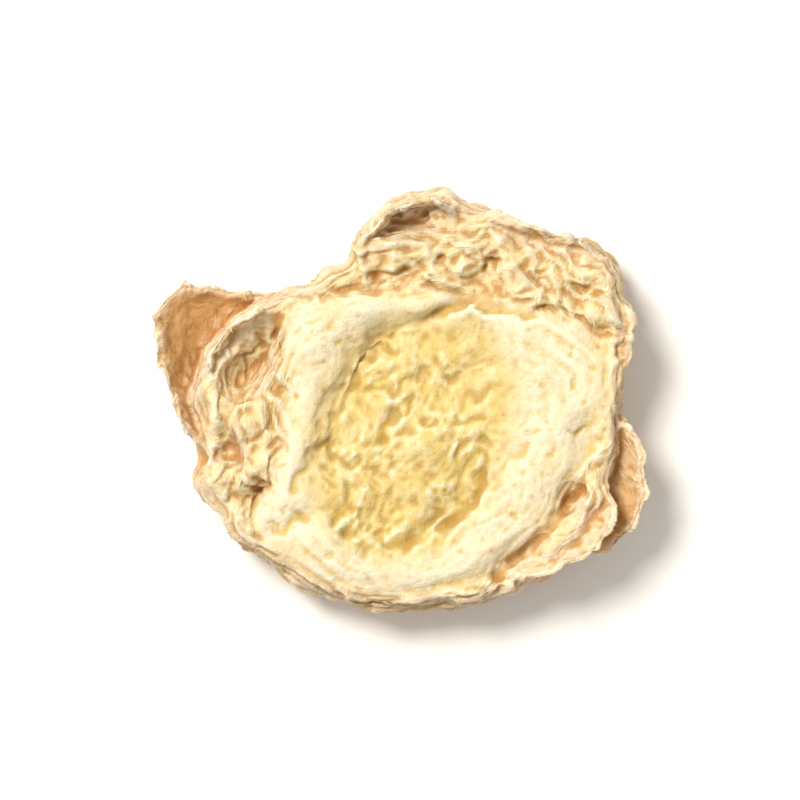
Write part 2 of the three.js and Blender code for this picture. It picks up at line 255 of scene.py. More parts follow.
def cortex_reach(towards):
    """Distance from the middle of the stele to the cortex's edge, in each direction."""
    edge = np.sort(np.rec.fromarrays(polar(CORTEX_EDGE)))
    return np.interp(towards, edge.f0, edge.f1, period=2 * math.pi)


direction, reach = polar(points)
print(f"the slice reaches {reach.max():.1f} mm from the middle of the stele")

# %% [markdown]
# Noise moves each border a little, so that none is a clean curve. The cork is where the slice faces
# outward, and smoothing leaves out the little walls inside the torn rim.

# %% Find the tissues
# Where each tissue starts and is full: the stele in shares of its ellipse, the rim in millimetres past the
# cortex, and the cork in how squarely the surface faces outward.
STELE_FADE = (0.84, 1.24)
RIM_FADE = (-0.25, 0.35)
CORK_FADE = (0.1, 0.55)
CORK_SMOOTHING = 30
STELE_WAVE = 0.08
STELE_FRAY = 0.04
CORTEX_WAVE = 0.18

from_lean = direction - STELE_LEAN
in_stele = reach * np.hypot(np.cos(from_lean) / STELE_HALF_LENGTH, np.sin(from_lean) / STELE_HALF_WIDTH)
in_stele += STELE_WAVE * noise(bent, size=2.2, seed=12) + STELE_FRAY * noise(points, size=0.7, seed=13)
past_cortex = reach - cortex_reach(direction) + CORTEX_WAVE * noise(bent, size=1.2, seed=14)
stele = 1 - soft_step(in_stele, *STELE_FADE)
rim = soft_step(past_cortex, *RIM_FADE)
outward = (np.cos(direction) * facing[:, 0] + np.sin(direction) * facing[:, 1]) * rim
cork = soft_step(smoothed(outward, CORK_SMOOTHING), *CORK_FADE)
print(f"stele {stele.mean():.0%}, rim {rim.mean():.0%}, cork {cork.mean():.0%} of the points")

# %% [markdown]
# ## Thin skin gets thinner
#
# The solid's loose skin is 0.6 mm thick, because a measured solid can't be much thinner. Real skin is
# less than half that. To find it, we send a ray from each point straight into the slice and see how soon
# it comes out. Where that is soon, both sides move in. The free edge has no other side to find, so its
# points take the mean move of their neighbours, and that closes the edge to a thin lip.

# %% Measure how thick it is, and thin the loose skin
# Up to SHEET millimetres it is loose skin, and from BULK on it is the body of the slice.
SHEET = 0.65
BULK = 1.5
THICKNESS_SMOOTHING = 3
THINNED_SHARE = 0.5
LIP_SPREAD = 8
LIP_GAIN = 1.2
STEP_IN = 0.02


def thickness_at(places, normals):
    """How far it is through the slice from each point, in millimetres, up to BULK."""
    tree = BVHTree.FromObject(ginger, bpy.context.evaluated_depsgraph_get())
    starts = (places - STEP_IN * normals) * MM
    far = BULK * MM
    hits = (tree.ray_cast(Vector(start), Vector(-normal), far)[3] for start, normal in zip(starts, normals))
    return np.array([far if hit is None else hit for hit in hits]) / MM


through = thickness_at(points, facing)
thin = rim * (1 - soft_step(smoothed(through, THICKNESS_SMOOTHING), SHEET, BULK))
inward = -0.5 * THINNED_SHARE * (np.minimum(through, SHEET) * thin)[:, None] * facing
lip_move = LIP_GAIN * (1 - thin)[:, None] * smoothed(inward, LIP_SPREAD)
write_points(points + inward + lip_move)
points, facing = read_points()
print(f"{np.mean(thin > 0.5):.0%} of the points are on loose skin")

# %% [markdown]
# Loose skin isn't alike all over. Its free edge is pale and frayed, and where it faces up the pale coat is
# also a painted highlight. Along the edge runs a pinkish lip, about half a millimetre wide. Low down, its
# inner side is the lining, a smooth tan sheet, and its tan is partly painted shade of the hollow it lines.

# %% Find the free edge, the lip and the lining
FREE_EDGE_FADE = (0.12, 0.35)
PINK_LIP_SPREAD = 60
PINK_LIP_FADE = (0.02, 0.1)
# Below LINING_TOP, in millimetres, the skin's inner side is the lining, whose tan is partly painted shade.
LINING_TOP = (3.4, 4.4)

free_edge = rim * (1 - thin) * soft_step(smoothed(thin, LIP_SPREAD), *FREE_EDGE_FADE)
pink_lip = rim * soft_step(smoothed(free_edge, PINK_LIP_SPREAD), *PINK_LIP_FADE)
lining = thin * (1 - cork) * (1 - soft_step(points[:, 2], *LINING_TOP))
print(f"free edge {free_edge.mean():.1%}, pink lip {pink_lip.mean():.1%}, lining {lining.mean():.1%}")

# %% [markdown]
# ## The relief of each tissue
#
# Every tissue gets its own relief, in millimetres along the surface's own direction. The stele has soft
# streaks that lean one way, as its fibres do, and small pits. The cortex is nearly smooth, with a fine
# grain. The torn tissue round it is a net of thin ridges in ragged layers, like shingles, that run along
# the rim. The cork is folded along the rim too, like a dry skin that has become too big.

# %% Places in which the patterns lie
CREASE_LEAN = math.radians(52)
RIM_RADIUS = 9.0


def leaning(long, wide):
    """Places in a space where streaks lean to the upper right, about long by wide millimetres."""
    along = bent[:, 0] * math.cos(CREASE_LEAN) + bent[:, 1] * math.sin(CREASE_LEAN)
    across = bent[:, 1] * math.cos(CREASE_LEAN) - bent[:, 0] * math.sin(CREASE_LEAN)
    return np.stack([along / long, across / wide, bent[:, 2] / wide], axis=1)


def along_rim(long, wide):
    """Places in a space where folds run round the rim, about long by wide millimetres."""
    turns = RIM_RADIUS / long
    down = (bent[:, 2] - reach) / wide
    return np.stack([turns * np.cos(direction), turns * np.sin(direction), down], axis=1)


print(f"streaks lean {math.degrees(CREASE_LEAN):.0f} degrees, folds run round at {RIM_RADIUS} mm")

# %% [markdown]
# In each sum below, the named height is how high a pattern stands, in millimetres, and the sizes beside it
# are how wide its lumps are. The heights are matched to the photograph, at its lighting. The upper
# right of the stele is calmer than the rest.

# %% The relief of the stele
STELE_LUMPS = 0.16
STELE_STREAKS = 0.16
STELE_CREASES = 0.03
STELE_GRAINS = 0.04
STELE_PITS = 0.16
CALM_DIRECTION = 0.9
CALM_SHARE = 0.45

stele_relief = STELE_LUMPS * layered(bent, size=1.8, seed=20)
stele_relief += STELE_STREAKS * layered(leaning(long=2.6, wide=1.1), size=1, seed=21)
stele_relief += STELE_CREASES * creases(leaning(long=2.2, wide=1.0), size=1, seed=25, sharpness=2.2)
stele_relief += STELE_GRAINS * layered(bent, size=0.5, seed=23, octaves=2)
stele_relief -= STELE_PITS * soft_step(noise(bent, size=1.2, seed=24), start=0.25, end=0.7)
upper_right = soft_step(in_stele * np.cos(direction - CALM_DIRECTION), start=0.1, end=0.7)
stele_relief *= 1 - CALM_SHARE * upper_right
print(f"the stele's relief is {np.ptp(stele_relief[stele > 0.5]):.2f} mm in all")

# %% The relief of the cortex
CORTEX_SWELLS = 0.06
CORTEX_WRINKLES = 0.09
CORTEX_GRAINS = 0.03
CORTEX_PITS = 0.06

cortex_relief = CORTEX_SWELLS * noise(bent, size=1.9, seed=31)
cortex_relief += CORTEX_WRINKLES * layered(along_rim(long=3.6, wide=0.9), size=1, seed=32)
cortex_relief += CORTEX_GRAINS * layered(points, size=0.5, seed=33)
cortex_relief -= CORTEX_PITS * soft_step(noise(points, size=0.6, seed=34), start=0.45, end=0.75)
print(f"the cortex's relief is {np.ptp(cortex_relief[stele + rim < 0.5]):.2f} mm in all")

# %% Layers like shingles
SHINGLE_EDGE = 0.16
SHINGLE_WAVE = 1.3
SHINGLE_FRAY = 0.25


def shingles(across, width, seed):
    """Overlapping layers, each rising slowly to 1 and ending in a short ragged step down to 0."""
    phase = across / width + SHINGLE_WAVE * noise(along_rim(long=3.5, wide=2.0), size=1, seed=seed)
    phase += SHINGLE_FRAY * noise(bent, size=0.8, seed=seed + 1)
    part = phase - np.floor(phase)
    here = soft_step(noise(bent, size=2.2, seed=seed + 2), start=-0.35, end=0.25)
    return here * np.minimum(part / (1 - SHINGLE_EDGE), (1 - part) / SHINGLE_EDGE)


print(f"a layer ends within {SHINGLE_EDGE:.0%} of its width")

# %% The relief of the torn tissue and of the cork
SHINGLE_STEPS = 0.2
RIM_CREASES = 0.09
TORN_LUMPS = 0.11
TORN_RIDGES = 0.08
CORK_LUMPS = 0.04

torn_relief = SHINGLE_STEPS * shingles(-past_cortex, width=1.2, seed=41)
torn_relief -= RIM_CREASES * creases(along_rim(long=2.4, wide=1.0), size=1, seed=44, sharpness=2.2)
torn_relief += TORN_LUMPS * layered(bent, size=1.0, seed=45)
torn_relief -= TORN_RIDGES * creases(bent, size=1.3, seed=46, sharpness=2.2)
cork_relief = SHINGLE_STEPS * shingles(points[:, 2], width=1.1, seed=51)
cork_relief -= RIM_CREASES * creases(along_rim(long=3.2, wide=0.7), size=1, seed=54, sharpness=2.4)
cork_relief += CORK_LUMPS * layered(bent, size=0.7, seed=55)
rim_relief = (1 - cork) * torn_relief + cork * cork_relief
print(f"the rim's relief is {np.ptp(rim_relief[rim > 0.5]):.2f} mm in all")

# %% [markdown]
# Some of the rim is calm: the lining, the bottom of each hollow, where nothing rubbed, and the broad fold
# at the lower right, which is whole tissue folded over and not torn. Fray pushes the torn edges about in
# all three directions, so that no edge stays a smooth line.

# %% Put the reliefs together
BROAD = 70
SUNK_FADE = (0.1, 0.5)
PETAL_DIRECTION = -0.6
PETAL_SPREAD = 0.32
PETAL_CALM = 0.8
CALM_ON_SKIN = 0.65
CALM_RELIEF = 0.7
CALM_FRAY = 0.5
FRAY = 0.07
SKIN_FRAY = 0.11

sunk = rim * soft_step(-height_over(BROAD), *SUNK_FADE)
petal = rim * (1 - cork) * bell(direction, PETAL_DIRECTION, PETAL_SPREAD)
calm = np.maximum(np.maximum(lining, sunk), PETAL_CALM * petal)
rim_relief *= (1 - CALM_ON_SKIN * thin) * (1 - CALM_RELIEF * calm)
relief = stele * stele_relief + (1 - stele) * (1 - rim) * cortex_relief + rim * rim_relief
fray = np.stack([layered(points, size=1.0, seed=70 + axis) for axis in range(3)], axis=1)
fray *= (rim * (FRAY + SKIN_FRAY * np.maximum(thin, free_edge)) * (1 - CALM_FRAY * calm))[:, None]
print(f"relief from {relief.min():.2f} to {relief.max():.2f} mm")

# %% [markdown]
# ## Long creases
#
# Noise wrinkles the stele alike everywhere, but the eye first sees the few long creases that shrinking tore
# open. They are this slice's own, so they are drawn, seen from above, each as a line of points. A
# point of the mesh measures how far it is from the line and sinks by a bell of that distance.

# %% Draw the long creases
# Half width and depth in millimetres, then the line. The first five are one furrow at the stele's edge,
# and the last two lie in the rim, beside and on the broad fold.
LONG_CREASES = [
    (0.30, 0.16, [(-3.8, -2.2), (-3.3, -1.2), (-2.8, -0.4), (-2.5, 0.4), (-2.1, 1.3), (-1.6, 2.0)]),
    (0.26, 0.18, [(-1.6, 2.0), (-0.9, 2.3), (-0.4, 2.6)]),
    (0.30, 0.16, [(-1.2, 3.1), (-0.4, 3.3), (0.4, 3.6), (1.1, 3.9), (1.8, 4.2)]),
    (0.28, 0.30, [(1.8, 4.2), (2.5, 4.6), (3.2, 4.95), (3.9, 4.75), (4.6, 4.6)]),
    (0.26, 0.20, [(4.6, 4.6), (5.6, 4.25), (6.5, 4.2)]),
    (0.20, 0.15, [(-1.9, 0.6), (-1.2, 0.55), (-0.5, 0.7), (-0.2, 0.3)]),
    (0.24, 0.18, [(-0.2, 0.3), (0.0, 0.8), (0.6, 1.15), (1.2, 1.3)]),
    (0.24, 0.20, [(-1.2, -2.2), (-0.8, -1.7), (-0.45, -1.1), (-0.35, -0.5)]),
    (0.18, 0.12, [(0.0, -0.7), (0.4, -0.3), (0.7, 0.0)]),
    (0.24, 0.15, [(0.3, -1.5), (0.6, -1.6)]),
    (0.20, 0.10, [(1.1, -1.1), (1.8, -1.3), (2.6, -1.25), (3.2, -0.95), (4.0, -0.85)]),
    (0.26, 0.17, [(2.7, -2.5), (3.0, -2.1), (3.4, -1.9)]),
    (0.34, 0.26, [(4.1, -2.8), (3.9, -3.8), (3.5, -4.8), (2.9, -5.4), (2.2, -5.8)]),
    (0.34, 0.24, [(1.9, -5.3), (1.3, -5.9), (0.8, -6.4), (0.3, -6.8), (-0.5, -7.0)]),
    (0.26, 0.17, [(-3.3, -5.7), (-2.9, -5.3), (-2.4, -5.15), (-1.9, -5.2)]),
    (0.30, 0.20, [(-2.6, -6.2), (-2.1, -6.7), (-1.6, -7.1)]),
    (0.24, 0.16, [(-4.0, -2.4), (-4.3, -3.0), (-4.7, -3.5), (-5.0, -4.2)]),
    (0.22, 0.15, [(-3.3, -2.1), (-3.0, -2.8), (-2.4, -3.1), (-2.0, -2.7)]),
    (0.28, 0.11, [(3.6, 0.3), (4.2, 0.5), (5.0, 0.5)]),
    (0.26, 0.12, [(4.5, -4.1), (4.9, -3.4), (5.4, -2.8), (6.0, -2.1)]),
    (0.24, 0.14, [(2.1, 1.25), (2.7, 1.2)]),
    (0.24, 0.10, [(-6.0, -6.2), (-5.4, -6.0), (-5.0, -5.7), (-4.4, -5.4)]),
    (0.22, 0.10, [(-3.7, 5.0), (-2.9, 5.3), (-2.0, 5.3), (-1.1, 5.2), (-0.5, 5.5), (0.3, 5.2)]),
    (0.20, 0.20, [(-1.3, 6.0), (-0.6, 6.2), (0.2, 6.5), (0.9, 6.5)]),
    (0.20, 0.20, [(1.8, 6.7), (2.6, 6.8)]),
    (0.28, 0.24, [(4.6, -8.3), (5.3, -7.8), (6.0, -7.0), (6.9, -6.2), (7.6, -5.4), (8.0, -4.8), (8.6, -4.4)]),
    (0.24, 0.12, [(7.4, -7.6), (8.6, -6.8), (9.4, -5.8), (9.8, -4.6)]),
]
CREASE_WAVE = 0.35
CREASE_UNEVEN = 0.8
TOP_FADE = (2.0, 2.8)


def distance_to(line, places):
    """How far each place is from a line of points, seen from above, in millimetres."""
    nearest = np.full(len(places), np.inf)
    for start, end in itertools.pairwise(np.array(line) + DRAWING_ZERO):
        along = end - start
        part = np.clip((places - start) @ along / (along @ along), 0, 1)
        nearest = np.minimum(nearest, np.hypot(*(places - start - part[:, None] * along).T))
    return nearest


wavy = warped(points, size=0.9, amount=CREASE_WAVE, seed=98)[:, :2]
long_crease = np.zeros(point_count)
for half_width, depth, line in LONG_CREASES:
    long_crease = np.maximum(long_crease, depth * bell(distance_to(line, wavy), 0, half_width))
on_top = soft_step(points[:, 2], *TOP_FADE)
long_crease *= on_top * (1 + CREASE_UNEVEN * noise(points, size=0.9, seed=99))
relief -= long_crease
print(f"{len(LONG_CREASES)} long creases, up to {long_crease.max():.2f} mm deep")

# %% [markdown]
# The solid's own furrow at the stele's edge is cut wide and deep, so that it shows without colours too.
# In the finer slice the creases above carry it, so part of it is filled again.

# %% Fill part of the solid's furrow
# The middle and half width are in shares of the stele's ellipse.
FURROW_MIDDLE = 0.92
FURROW_HALF_WIDTH = 0.13
FURROW_DIRECTION = 2.15
FURROW_TAPER = 3
FURROW_FILL = 0.42

furrow = bell(in_stele, FURROW_MIDDLE, FURROW_HALF_WIDTH)
furrow *= np.clip(np.cos(direction - FURROW_DIRECTION), 0, 1) ** FURROW_TAPER
relief += FURROW_FILL * furrow * on_top
print(f"the fill is up to {FURROW_FILL * furrow.max():.2f} mm thick")

# %% [markdown]
# ## Vascular bundles
#
# Strings of fibre run along the root and carry its sap. Where the knife cut them they end in small dots,
# scattered over the stele and more sparsely over the cortex. Darts are thrown at the cut face, and each
# one that lands too near another is taken out, so the dots are scattered but never in clumps. Fibre
# shrinks less than starch, so each end stands out a little.

# %% Throw the darts
DARTS = 1500
DARTS_FROM = (-7, -10)
DARTS_TO = (10.5, 5.5)
STELE_GAP = 0.62
CORTEX_GAP = 1.1


def scatter_darts(count, seed):
    """Places where darts land in the cut face, none too near another."""
    darts = np.random.default_rng(seed).uniform(DARTS_FROM, DARTS_TO, (count, 2))
    towards, far = polar(darts)
    kept = []
    for dart, distance, edge in zip(darts, far, cortex_reach(towards)):
        gap = STELE_GAP if distance < STELE_HALF_WIDTH else CORTEX_GAP
        if distance < edge and all(np.hypot(*(dart - other)) > gap for other in kept):
            kept.append(dart)
    return np.array(kept)


bundles = scatter_darts(DARTS, seed=91)
print(f"{len(bundles)} bundle ends")

# %% Raise the bundle ends
BUNDLE_WIDTHS = (0.05, 0.13)
BUNDLE_HEIGHT = 0.04
LEVEL_FADE = (0.5, 0.8)

bundle_end = np.zeros(point_count)
for bundle, bundle_width in zip(bundles, np.random.default_rng(92).uniform(*BUNDLE_WIDTHS, len(bundles))):
    bundle_end = np.maximum(bundle_end, bell(np.hypot(*(points[:, :2] - bundle).T), 0, bundle_width))
bundle_end *= soft_step(np.abs(facing[:, 2]), *LEVEL_FADE) * (1 - rim)
relief += BUNDLE_HEIGHT * bundle_end
print(f"{np.mean(bundle_end > 0.5):.1%} of the points are on a bundle end")

# %% [markdown]
# Now the relief moves the points. They move along the smoothed direction of the surface, because small
# facets would throw them across one another. Nothing may sink into the table, so the lowest stay on it.

# %% Move the points
PUSH_SMOOTHING = 4

push = smoothed(facing, PUSH_SMOOTHING)
push /= np.linalg.norm(push, axis=1)[:, None]
dressed = points + relief[:, None] * push + fray
dressed[:, 2] = np.maximum(dressed[:, 2], 0)
write_points(dressed)
print(f"the points moved up to {np.linalg.norm(dressed - points, axis=1).max():.2f} mm")

# %% [markdown]
# ## Where the colours go
#
# Starch dust stays on the ridges and makes them pale. The creases and hollows get painted shade: a darker
# colour, warm like bounced light, that stands in for the shade in them. The material can't see a point's
# surroundings, so we work that out here. A point that lies below the smoothed surface is in a hollow. The
# material is painted in coats, and each coat's share is stored on the mesh's points.

# %% Find the hollows
# The smoothing that finds the small creases, and the heights in millimetres at which each share starts
# and is full.
FINE = 6
CREASE_FADE = (-0.012, 0.035)
RIDGE_FADE = (0.012, 0.05)
HOLLOW_FADE = (0.02, 0.4)

points, facing = read_points()
fine_height = height_over(FINE)
broad_height = height_over(BROAD)
crease = soft_step(-fine_height, *CREASE_FADE)
ridge = soft_step(fine_height, *RIDGE_FADE)
# Where the hollows lie, for their painted shade.
painted_hollow_shade = soft_step(-broad_height, *HOLLOW_FADE)
print(f"ridges stand up to {broad_height.max():.2f} mm out, and hollows go {-broad_height.min():.2f} mm in")

# %% [markdown]
# Three tints depend on the place. The cork is paler higher up, near the cut. The lining of the flap at the
# left and of the fold below gets a browner painted shade than the rest. The long creases get painted shade,
# which reaches a little past the stele's edge and so draws its outline.

# %% Find the tints of places
# The heights in millimetres over which the cork turns paler, and how uneven that is.
PALER_HIGH_FADE = (1.6, 3.6)
PALER_HIGH_UNEVEN = 0.8
# Painted shade in the long creases: how much, from which depths, and how far past the stele it reaches.
LONG_CREASE_SHADE = 0.85
CREASE_DEPTHS = (0.05, 0.26)
OUTLINE_FADE = (1.15, 1.4)
# Where the lining gets more painted shade: so far left of the middle, and so far below it, in millimetres.
POCKET_SHADE_LEFT = (4, 7)
POCKET_SHADE_BELOW = (4, 5.5)

paler_high_up = soft_step(points[:, 2] + PALER_HIGH_UNEVEN * noise(bent, size=2.5, seed=97), *PALER_HIGH_FADE)
long_crease_shade = LONG_CREASE_SHADE * soft_step(long_crease, *CREASE_DEPTHS)
near_stele = 1 - soft_step(in_stele, *OUTLINE_FADE)
pocket_shade = np.maximum(soft_step(-points[:, 0], *POCKET_SHADE_LEFT), soft_step(-points[:, 1], *POCKET_SHADE_BELOW))
print(f"worn {paler_high_up.mean():.0%}, near the stele {near_stele.mean():.0%}, browned {pocket_shade.mean():.0%}")

# %% [markdown]
# The shares are numbers from 0 to 1, and the factors in them were matched to the photograph. The
# value stored last is a place and not a share: it lets the material lay its fine wrinkles round the rim.

# %% Store the shares
PALER_HIGH_SHARE = 0.65
# The next five are how much painted shade the creases, the rim's broad hollows and the hollows get.
SMALL_CREASE_SHADE = 0.7
RIM_CREASE_SHADE = 0.8
SUNK_SHADE = 0.6
HOLLOW_SHADE = 0.3
RIM_HOLLOW_SHADE = 0.5
LESS_PINK_ON_CORK = 0.5
LESS_PINK_IN_CREASES = 0.7
LESS_DUST = 0.6
# The free edge is pale where it faces up, so its paleness there is partly a painted highlight.
FACING_UP = (-0.2, 0.4)

SHARES = {
    "stele": stele,
    # Painted shade in the stele's small creases, and in its long creases a little past its edge.
    "painted shade in stele creases": np.maximum(SMALL_CREASE_SHADE * stele * crease, near_stele * long_crease_shade),
    # Painted shade in the cortex's creases.
    "painted shade in cortex creases": (1 - stele) * (1 - rim) * np.maximum(crease, long_crease_shade),
    "torn tissue": rim * (1 - cork),
    # Less cork colour higher up, so the cork is paler near the cut.
    "cork": cork * (1 - PALER_HIGH_SHARE * paler_high_up),
    # The lining's tan, partly painted shade of the hollow it lines. In the rim's broad hollows it is painted
    # shade only.
    "lining": np.maximum(lining, SUNK_SHADE * sunk),
    # More painted shade on the lining at the left and below.
    "painted shade on the lining": lining * pocket_shade,
    "pink lip": pink_lip * (1 - LESS_PINK_ON_CORK * cork) * (1 - LESS_PINK_IN_CREASES * crease),
    # Painted shade in the rim's creases.
    "painted shade in rim creases": RIM_CREASE_SHADE * rim * np.maximum(crease, long_crease_shade),
    # Painted shade in the hollows, stronger on the rim and warm like light bounced off the ginger round them.
    "painted_hollow_shade": painted_hollow_shade * (HOLLOW_SHADE + RIM_HOLLOW_SHADE * rim),
    "bundle": bundle_end,
    "ridge": ridge * (1 - LESS_DUST * cork) * (1 - LESS_DUST * sunk),
    # The pale free edge, only where it faces up: partly the edge's own colour and partly painted highlight.
    "free edge": free_edge * soft_step(facing[:, 2], *FACING_UP),
    "rim": rim,
}
for share_name, share in SHARES.items():
    attribute = ginger.data.attributes.new(share_name, "FLOAT", "POINT")
    attribute.data.foreach_set("value", share.astype(np.float32))
round_rim = ginger.data.attributes.new("round the rim", "FLOAT_VECTOR", "POINT")
round_rim.data.foreach_set("vector", along_rim(1, 1).astype(np.float32).ravel())
ginger.data.shade_smooth()
print({share_name: f"{share.mean():.0%}" for share_name, share in SHARES.items()})

# %% [markdown]
# ## Helpers for materials
#
# Colours are picked as the sRGB hex values that a screen shows, and Blender works in linear light, so one
# function turns them. Another adds a node with its settings and its inputs.

# %% Colour and node helpers
def linear(hex_colour):
    """An sRGB hex colour as the linear RGBA that Blender works in."""
    channels = [int(hex_colour[i:i + 2], 16) / 255 for i in (1, 3, 5)]
    return [c / 12.92 if c <= 0.04045 else ((c + 0.055) / 1.055) ** 2.4 for c in channels] + [1.0]


def add(tree, kind, settings, inputs):
    """Add a node of a kind. Its inputs are numbers, hex colours, or sockets that it is linked to."""
    node = tree.nodes.new(kind)
    for name, value in settings.items():
        setattr(node, name, value)
    for name, value in inputs.items():
        if isinstance(value, bpy.types.NodeSocket):
            tree.links.new(value, node.inputs[name])
        else:
            node.inputs[name].default_value = linear(value) if isinstance(value, str) else value
    return node


print(f"half grey on a screen, #808080, is {linear('#808080')[0]:.2f} in linear light")

# %% [markdown]
# ## Dried ginger
#
# Dried ginger is starch held by dry fibre, cut with a knife and dried in air. It is matte, a little
# translucent, and pale where it was cut. The stele is yellow from its resin, the cortex is cream, and the
# cork is tan to brown. One colour ramp over noise would be simpler, but then the colour wouldn't follow the
# tissue. So it is painted in coats: the first is cream, and each further coat lies over the ones before with
# its share. Noise breaks the coats up below the size of a quad: blotches, streaks and starch grains.

# %% The colours of dried ginger, in coats
CREAM_CORTEX = "#F5E8CA"
COATS = [
    ("straw blotch", "#EDD9AC"),
    ("stele", "#E6CB80"),
    ("stele streak", "#F1DFA8"),
    # Painted shade in the stele's creases.
    ("painted shade in stele creases", "#B4903A"),
    # Painted shade in the cortex's creases.
    ("painted shade in cortex creases", "#DCC078"),
    ("torn tissue", "#F2DBA8"),
    ("cork", "#D2A56A"),
    # The lining's tan, partly painted shade.
    ("lining", "#E9C595"),
    # More painted shade on the lining at the left and below.
    ("painted shade on the lining", "#DCAE74"),
    ("pink lip", "#F3D3AE"),
    # Painted shade in the rim's creases.
    ("painted shade in rim creases", "#C2924A"),
    # Painted shade in the hollows, tinted like warm bounced light.
    ("painted_hollow_shade", "#B2722A"),
    # The pale free edge: partly its own colour and partly painted highlight where it faces up.
    ("free edge", "#F7E6C4"),
    ("bundle", "#C49A55"),
    ("dusted ridge", "#FCF3DC"),
    ("dark grain", "#BE9556"),
    ("pale grain", "#FFF6DC"),
]
# Width in millimetres, detail and roughness of each noise. Starch grains are 0.02 mm wide, too fine to
# show, so they are drawn about ten times as coarse.
GRAINS = {
    "blotches": (2.2, 3.0, 0.55),
    "streaks": (0.7, 4.0, 0.65),
    "starch": (0.2, 4.0, 0.75),
    "dust": (0.5, 3.0, 0.6),
}
# Each share that comes from a noise: the noise, where it starts and is full, and its most.
NOISE_SHARES = {
    "straw blotch": ("blotches", 0.45, 0.65, 0.7),
    "pale stele": ("streaks", 0.42, 0.62, 0.8),
    "patchy dust": ("dust", 0.35, 0.55, 0.75),
    "dark grain": ("starch", 0.6, 0.72, 0.3),
    "pale grain": ("starch", 0.42, 0.3, 0.25),
}
# Shares that are the product of two others.
PRODUCTS = {"stele streak": ("stele", "pale stele"), "dusted ridge": ("ridge", "patchy dust")}
print(f"{len(COATS) + 1} coats of colour")

# %% The dried ginger material
# The colour sockets of a Mix node go by number, because it has other sockets with the same names.
FACTOR, UNDER, OVER, MIXED = 0, 6, 7, 2
STREAK_SQUEEZE = 0.35


def dried_ginger():
    """Starchy cut faces and corky skin, from the shares that the mesh carries."""
    material = bpy.data.materials.new("dried ginger, cut and air-dried")
    material.use_nodes = True
    tree = material.node_tree
    surface = tree.nodes["Principled BSDF"]

    place = add(tree, "ShaderNodeTexCoord", {}, {}).outputs["Object"]
    to_mm = {"Vector": place, "Scale": (1 / MM, 1 / MM, 1 / MM)}
    in_mm = add(tree, "ShaderNodeMapping", {}, to_mm).outputs[0]
    upright = (0, 0, math.pi / 2 - CREASE_LEAN)
    lean = {"Vector": in_mm, "Rotation": upright, "Scale": (1.0, STREAK_SQUEEZE, 1.0)}
    leaned = add(tree, "ShaderNodeMapping", {}, lean).outputs[0]
    grains = {}
    for name, (size, detail, roughness) in GRAINS.items():
        inputs = {"Vector": leaned if name == "streaks" else in_mm, "Scale": 1 / size, "Detail": detail,
                  "Roughness": roughness}
        grains[name] = add(tree, "ShaderNodeTexNoise", {}, inputs).outputs["Fac"]

    shares = {}
    for name in SHARES:
        shares[name] = add(tree, "ShaderNodeAttribute", {"attribute_name": name}, {}).outputs["Fac"]
    for name, (grain, start, full, most) in NOISE_SHARES.items():
        inputs = {"Value": grains[grain], "From Min": start, "From Max": full, "To Max": most}
        smooth = {"interpolation_type": "SMOOTHSTEP"}
        shares[name] = add(tree, "ShaderNodeMapRange", smooth, inputs).outputs[0]
    for name, (one, other) in PRODUCTS.items():
        both = {0: shares[one], 1: shares[other]}
        shares[name] = add(tree, "ShaderNodeMath", {"operation": "MULTIPLY"}, both).outputs[0]

    colour = CREAM_CORTEX
    for name, coat in COATS:
        inputs = {FACTOR: shares[name], UNDER: colour, OVER: coat}
        colour = add(tree, "ShaderNodeMix", {"data_type": "RGBA"}, inputs).outputs[MIXED]
    tree.links.new(colour, surface.inputs["Base Color"])
    add_starch_finish(tree, surface, grains)
    return material


# %% [markdown]
# The finish is matte: starch grains scatter light every way. Some of it goes in under the surface and comes
# out warmer beside it, which a rough plastic doesn't show. Starch has an IOR near 1.53, but the air between
# its grains lowers the gloss, so the specular level is low. The bump is the grain of the starch, and on the
# rim also fine wrinkles that run round it.

# %% The starchy finish
WRINKLE_WIDE = 0.16
WRINKLE_LONG = 1.2
STARCH_BUMP = 0.13 * MM
WRINKLE_BUMP = 0.16 * MM


def add_starch_finish(tree, surface, grains):
    """Roughness, soft scatter and bump of a dry starchy surface."""
    matte = {"Value": grains["dust"], "From Min": 0.3, "From Max": 0.7, "To Min": 0.74, "To Max": 0.94}
    rough = add(tree, "ShaderNodeMapRange", {}, matte).outputs[0]
    tree.links.new(rough, surface.inputs["Roughness"])
    surface.inputs["IOR"].default_value = 1.5
    surface.inputs["Specular IOR Level"].default_value = 0.3
    surface.inputs["Subsurface Weight"].default_value = 0.12
    surface.inputs["Subsurface Radius"].default_value = (1.0, 0.6, 0.25)
    surface.inputs["Subsurface Scale"].default_value = 0.25 * MM
    surface.inputs["Sheen Weight"].default_value = 0.06
    surface.inputs["Sheen Roughness"].default_value = 0.6

    around = add(tree, "ShaderNodeAttribute", {"attribute_name": "round the rim"}, {}).outputs["Vector"]
    squeeze = (1 / WRINKLE_LONG, 1 / WRINKLE_LONG, 1 / WRINKLE_WIDE)
    folded = add(tree, "ShaderNodeMapping", {}, {"Vector": around, "Scale": squeeze}).outputs[0]
    fine_folds = {"Vector": folded, "Scale": 1.0, "Detail": 3.0}
    wrinkles = add(tree, "ShaderNodeTexNoise", {}, fine_folds).outputs["Fac"]
    on_rim = add(tree, "ShaderNodeAttribute", {"attribute_name": "rim"}, {}).outputs["Fac"]
    grainy = {"Height": grains["starch"], "Strength": 0.8, "Distance": STARCH_BUMP}
    starch = add(tree, "ShaderNodeBump", {}, grainy).outputs["Normal"]
    wrinkled = {"Height": wrinkles, "Strength": on_rim, "Distance": WRINKLE_BUMP, "Normal": starch}
    tree.links.new(add(tree, "ShaderNodeBump", {}, wrinkled).outputs["Normal"], surface.inputs["Normal"])


